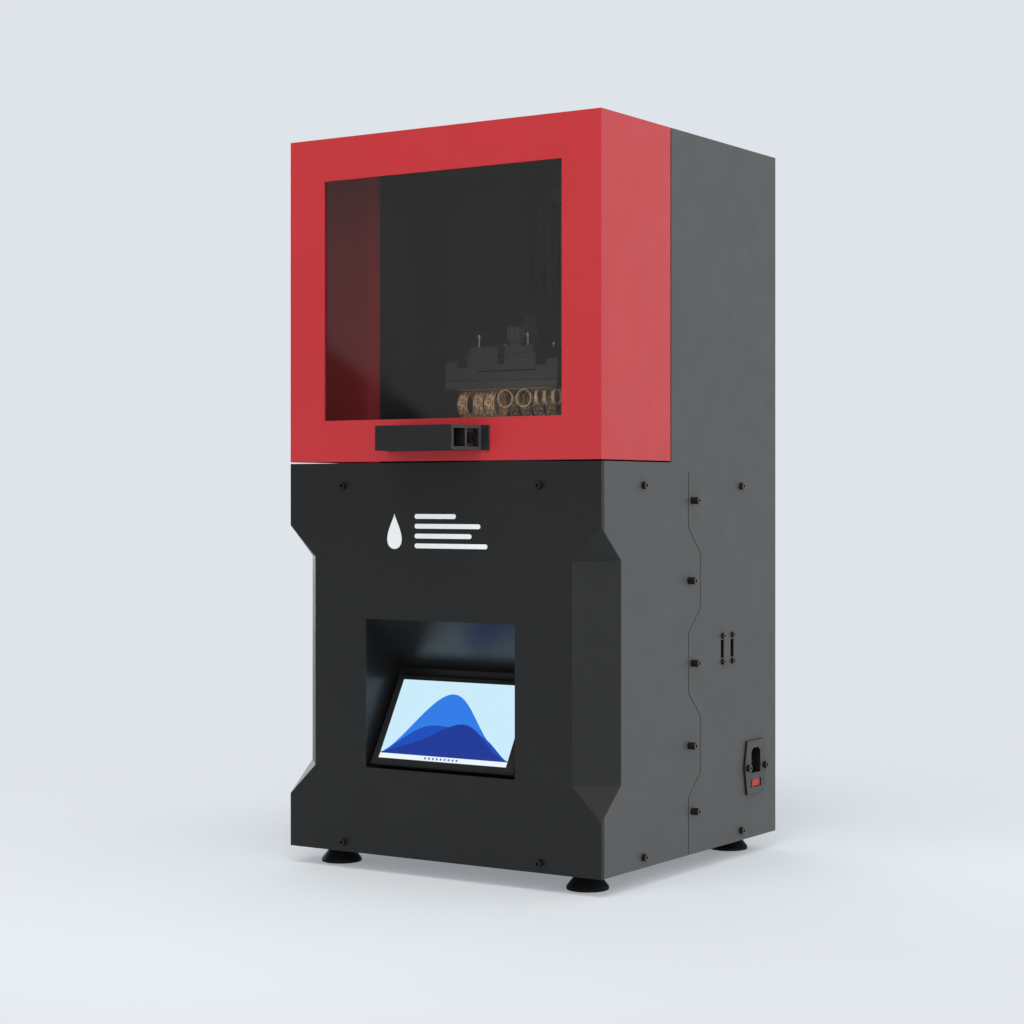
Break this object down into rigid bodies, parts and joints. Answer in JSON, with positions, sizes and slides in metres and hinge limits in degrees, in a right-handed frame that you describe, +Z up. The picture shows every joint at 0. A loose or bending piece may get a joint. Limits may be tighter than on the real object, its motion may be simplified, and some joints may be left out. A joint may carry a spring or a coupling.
{
  "type": "resin printer",
  "caption": "Tall box-shaped resin printer: hinged hood with a smoked window over a vat and build platform, above a cabinet with a recessed tilted touch screen.",
  "frame": {"origin": "centre of the footprint, at floor level under the rubber feet", "axes": "+Z up; +X to the right as seen from the front; the front of the machine faces -Y"},
  "size_m": [0.377, 0.4004, 0.725],
  "materials": {
    "black_sheet": "satin powder coat",
    "grey_sheet": "matt powder coat",
    "red_sheet": "satin powder coat",
    "zinc_sheet": "zinc-plated sheet",
    "black_oxide": "black oxide steel",
    "hinge_steel": "brushed",
    "smoked_acrylic": "smoked clear acrylic",
    "clear_glass": "clear",
    "film": "clear stretched film",
    "anodised_black": "black anodised",
    "hard_anodised": "hard anodised",
    "rail_steel": "ground",
    "carriage_steel": "ground",
    "brass": "turned",
    "black_plastic": "moulded",
    "rubber": "moulded",
    "motor_black": "painted",
    "lens_glass": "coated",
    "circuit": "solder mask",
    "supply_steel": "folded sheet",
    "screen_glass": "glossy",
    "guard_wire": "satin",
    "rocker_red": "gloss",
    "cast_resin": "semi-gloss cured resin"
  },
  "bodies": {
    "machine": {"base_plate": "zinc_sheet", "front_panel": "black_sheet", "side_front_left": "grey_sheet", "side_front_right": "grey_sheet", "side_rear_left": "grey_sheet", "side_rear_right": "grey_sheet", "back_panel": "grey_sheet", "top_cover": "grey_sheet", "inner_frame": "zinc_sheet", "deck_plate": "anodised_black", "deck_glass": "clear_glass", "chamber_wall": "anodised_black", "rubber_feet": "rubber", "foot_bolts": "black_oxide", "panel_screws": "black_oxide", "seam_screws": "black_oxide", "port_screws": "black_oxide", "hinge_leaves_fixed": "hinge_steel", "hinge_pins": "hinge_steel", "hinge_screws_fixed": "black_oxide", "z_plate": "anodised_black", "z_column": "anodised_black", "z_rails": "rail_steel", "bearing_blocks": "anodised_black", "z_motor": "motor_black", "vat_frame": "anodised_black", "vat_film": "film", "vat_film_ring": "anodised_black", "projector": "motor_black", "projector_lens": "lens_glass", "projector_bracket": "zinc_sheet", "main_board": "circuit", "power_supply": "supply_steel", "display_module": "black_plastic", "display_glass": "screen_glass", "screen_recess": "black_sheet", "usb_ports": "black_plastic", "power_inlet": "black_plastic", "fan_frame": "black_plastic", "fan_guard": "guard_wire"},
    "hood": {"hood_shell": "red_sheet", "hood_window": "smoked_acrylic", "hood_handle": "black_sheet", "handle_screws": "black_oxide", "hinge_leaves_hood": "hinge_steel", "hinge_screws_hood": "black_oxide"},
    "z_carriage": {"carriage_plate": "anodised_black", "z_arm": "anodised_black", "rail_carriages": "carriage_steel", "screw_nut": "brass", "leveling_screws": "rail_steel"},
    "z_screw": {"z_screw": "rail_steel"},
    "platform": {"build_plate": "hard_anodised", "platform_block": "anodised_black", "printed_rings": "cast_resin"},
    "platform_knob": {"platform_knob": "black_plastic"},
    "vat_knob_left": {"vat_knob_left": "black_plastic"},
    "vat_knob_right": {"vat_knob_right": "black_plastic"},
    "rocker": {"rocker_switch": "rocker_red"},
    "fan": {"fan_impeller": "black_plastic"}
  },
  "joints": [
    {"name": "hood_lift", "type": "hinge", "parent": "machine", "child": "hood", "pos_m": [0, -0.02925, 0.721], "axis": [-1, 0, 0], "range_deg": [0, 95]},
    {"name": "z_lift", "type": "slide", "parent": "machine", "child": "z_carriage", "axis": [0, 0, 1], "range_m": [-0.039, 0.125]},
    {"name": "z_screw_spin", "type": "hinge", "parent": "machine", "child": "z_screw", "pos_m": [0, 0.08975, 0.417], "axis": [0, 0, 1], "range_deg": [-2810, 9002]},
    {"name": "platform_release", "type": "slide", "parent": "z_carriage", "child": "platform", "axis": [0, -1, 0], "range_m": [0, 0.06]},
    {"name": "platform_knob_turn", "type": "hinge", "parent": "platform", "child": "platform_knob", "pos_m": [0, -0.02025, 0.517], "axis": [0, 0, 1], "range_deg": [0, 720]},
    {"name": "vat_knob_left_turn", "type": "hinge", "parent": "machine", "child": "vat_knob_left", "pos_m": [-0.11, -0.01475, 0.417], "axis": [0, 0, 1], "range_deg": [0, 720]},
    {"name": "vat_knob_right_turn", "type": "hinge", "parent": "machine", "child": "vat_knob_right", "pos_m": [0.11, -0.01475, 0.417], "axis": [0, 0, 1], "range_deg": [0, 720]},
    {"name": "power_rocker", "type": "hinge", "parent": "machine", "child": "rocker", "pos_m": [0.1765, 0.14425, 0.0725], "axis": [0, 0, -1], "range_deg": [0, 12]},
    {"name": "fan_spin", "type": "hinge", "parent": "machine", "child": "fan", "pos_m": [0, 0.17775, 0.257], "axis": [0, 1, 0], "continuous": true}
  ],
  "couplings": [
    {"joint": "z_screw_spin", "follows": "z_lift", "rad_per_m": 1256.6}
  ]
}
